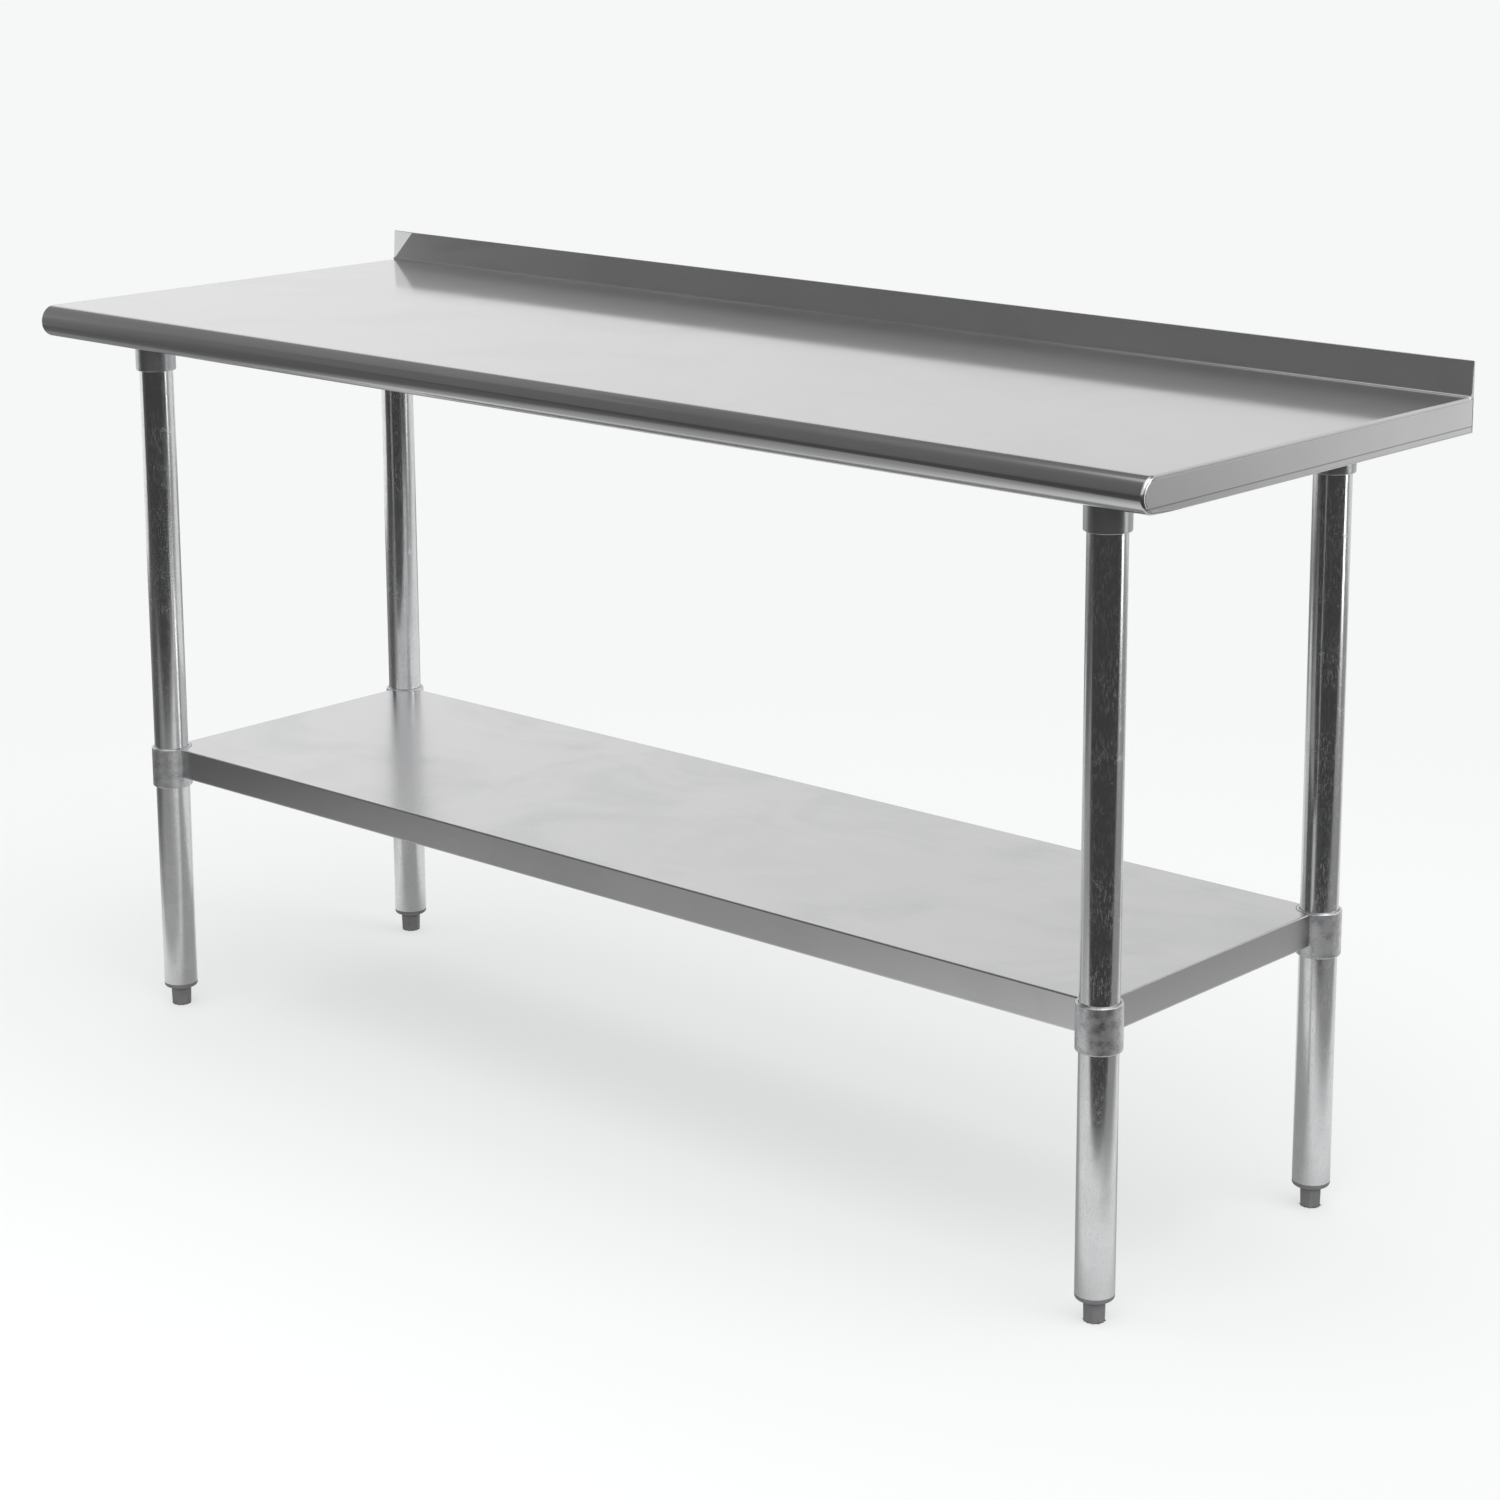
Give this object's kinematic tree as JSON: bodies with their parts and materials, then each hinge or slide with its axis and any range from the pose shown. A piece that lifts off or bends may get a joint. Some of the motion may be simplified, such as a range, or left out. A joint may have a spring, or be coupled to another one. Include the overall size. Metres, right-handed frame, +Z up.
{
  "type": "stainless work table",
  "caption": "Commercial kitchen work table: stainless top with rolled front edge and low rear splash, round legs, height-adjustable undershelf and screw-in levelling feet.",
  "frame": {"origin": "on the floor, under the middle of the table's bounding box, feet screwed in", "axes": "+X along the table to the right as seen from the front, +Y to the splash at the back, +Z up"},
  "size_m": [1.65, 0.5799, 0.928],
  "materials": {
    "stainless_sheet": "satin stainless, fine grain along the table",
    "galvanised_channel": "galvanised, matt",
    "zinc_plated_steel": "bright zinc plate",
    "black_steel": "black oxide",
    "galvanised_tube": "bright galvanised tube with faint speckle",
    "galvanised_socket": "galvanised",
    "galvanised_sheet": "satin galvanised, grain along the shelf",
    "cast_collar": "cast, tumbled",
    "grey_plastic": "moulded, matt"
  },
  "bodies": {
    "table_frame": {"worktop_sheet": "stainless_sheet", "long_channel": "galvanised_channel", "channel_studs": "zinc_plated_steel", "channel_washers": "zinc_plated_steel", "channel_nuts": "zinc_plated_steel", "cross_channel_left": "galvanised_channel", "cross_channel_right": "galvanised_channel", "leg_socket_fl": "galvanised_socket", "leg_socket_fr": "galvanised_socket", "leg_socket_bl": "galvanised_socket", "leg_socket_br": "galvanised_socket", "socket_bolts": "zinc_plated_steel", "socket_weld_nuts": "zinc_plated_steel", "socket_set_screws": "black_steel", "leg_fl": "galvanised_tube", "leg_fr": "galvanised_tube", "leg_bl": "galvanised_tube", "leg_br": "galvanised_tube", "foot_insert_fl": "grey_plastic", "foot_insert_fr": "grey_plastic", "foot_insert_bl": "grey_plastic", "foot_insert_br": "grey_plastic"},
    "undershelf": {"undershelf_sheet": "galvanised_sheet", "shelf_channel": "galvanised_channel", "shelf_collar_fl": "cast_collar", "shelf_collar_fr": "cast_collar", "shelf_collar_bl": "cast_collar", "shelf_collar_br": "cast_collar", "collar_set_screws": "black_steel"},
    "foot_stud_fl": {"foot_stud_fl": "zinc_plated_steel"},
    "hex_foot_fl": {"hex_foot_fl": "grey_plastic"},
    "foot_stud_fr": {"foot_stud_fr": "zinc_plated_steel"},
    "hex_foot_fr": {"hex_foot_fr": "grey_plastic"},
    "foot_stud_bl": {"foot_stud_bl": "zinc_plated_steel"},
    "hex_foot_bl": {"hex_foot_bl": "grey_plastic"},
    "foot_stud_br": {"foot_stud_br": "zinc_plated_steel"},
    "hex_foot_br": {"hex_foot_br": "grey_plastic"}
  },
  "joints": [
    {"name": "undershelf_height", "type": "slide", "parent": "table_frame", "child": "undershelf", "axis": [0, 0, 1], "range_m": [-0.24, 0.46]},
    {"name": "foot_height_fl", "type": "slide", "parent": "table_frame", "child": "foot_stud_fl", "axis": [0, 0, -1], "range_m": [0, 0.0245]},
    {"name": "foot_turn_fl", "type": "hinge", "parent": "foot_stud_fl", "child": "hex_foot_fl", "pos_m": [-0.72, -0.2, 0.012], "axis": [0, 0, -1], "range_deg": [0, 5041]},
    {"name": "foot_height_fr", "type": "slide", "parent": "table_frame", "child": "foot_stud_fr", "axis": [0, 0, -1], "range_m": [0, 0.0245]},
    {"name": "foot_turn_fr", "type": "hinge", "parent": "foot_stud_fr", "child": "hex_foot_fr", "pos_m": [0.72, -0.2, 0.012], "axis": [0, 0, -1], "range_deg": [0, 5041]},
    {"name": "foot_height_bl", "type": "slide", "parent": "table_frame", "child": "foot_stud_bl", "axis": [0, 0, -1], "range_m": [0, 0.0245]},
    {"name": "foot_turn_bl", "type": "hinge", "parent": "foot_stud_bl", "child": "hex_foot_bl", "pos_m": [-0.72, 0.191, 0.012], "axis": [0, 0, -1], "range_deg": [0, 5041]},
    {"name": "foot_height_br", "type": "slide", "parent": "table_frame", "child": "foot_stud_br", "axis": [0, 0, -1], "range_m": [0, 0.0245]},
    {"name": "foot_turn_br", "type": "hinge", "parent": "foot_stud_br", "child": "hex_foot_br", "pos_m": [0.72, 0.191, 0.012], "axis": [0, 0, -1], "range_deg": [0, 5041]}
  ],
  "couplings": [
    {"joint": "foot_turn_fl", "follows": "foot_height_fl", "rad_per_m": 3590.4},
    {"joint": "foot_turn_fr", "follows": "foot_height_fr", "rad_per_m": 3590.4},
    {"joint": "foot_turn_bl", "follows": "foot_height_bl", "rad_per_m": 3590.4},
    {"joint": "foot_turn_br", "follows": "foot_height_br", "rad_per_m": 3590.4}
  ]
}
